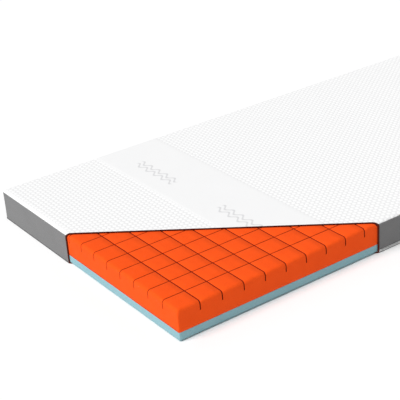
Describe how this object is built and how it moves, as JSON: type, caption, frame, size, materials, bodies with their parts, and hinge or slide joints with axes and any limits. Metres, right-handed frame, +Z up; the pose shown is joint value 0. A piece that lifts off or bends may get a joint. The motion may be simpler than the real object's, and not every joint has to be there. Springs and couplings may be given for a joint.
{
  "type": "memory foam mattress",
  "caption": "Thin single mattress with a slit orange foam layer on a blue foam base, in a white knit and grey zipped cover with a corner of the cover cut away.",
  "frame": {"origin": "middle of the underside, on the surface that the mattress lies on", "axes": "+X along the length to the head end, +Y across the width to the back side, +Z up; the cut-away corner is at -X, -Y"},
  "size_m": [2.0003, 0.904, 0.093],
  "materials": {
    "comfort_foam": "open-cell foam, matt",
    "support_foam": "open-cell foam, matt",
    "bond_film": "dried adhesive film",
    "knit_white": "dimpled double knit",
    "border_grey": "fine woven border cloth",
    "binding_dark": "sewn edge tape",
    "underside_white": "padded knit",
    "zip_tape": "woven tape",
    "zip_coil": "nylon coil",
    "zip_metal": "nickel-plated zinc",
    "label_satin": "printed-satin ribbon, blank"
  },
  "bodies": {
    "mattress": {"comfort_foam": "comfort_foam", "support_foam": "support_foam", "foam_bond_film": "bond_film", "cover_top_panel": "knit_white", "border_foot": "border_grey", "border_head": "border_grey", "border_front": "border_grey", "border_back": "border_grey", "cutaway_edge_binding": "binding_dark", "cover_underside_panel": "underside_white", "zip_tape_lower": "zip_tape", "zip_tape_upper": "zip_tape", "zip_coil_lower": "zip_coil", "zip_coil_upper": "zip_coil", "zip_end_stops": "zip_metal", "care_label": "label_satin"},
    "zip_slider": {"zip_slider_body": "zip_metal"},
    "zip_pull": {"zip_pull_tab": "zip_metal"}
  },
  "joints": [
    {"name": "zip_slide", "type": "slide", "parent": "mattress", "child": "zip_slider", "axis": [1, 0, 0], "range_m": [0, 1.9]},
    {"name": "pull_tab_swing", "type": "hinge", "parent": "zip_slider", "child": "zip_pull", "pos_m": [-0.958, 0.45215, 0.006], "axis": [0, 0, 1], "range_deg": [0, 180]}
  ]
}
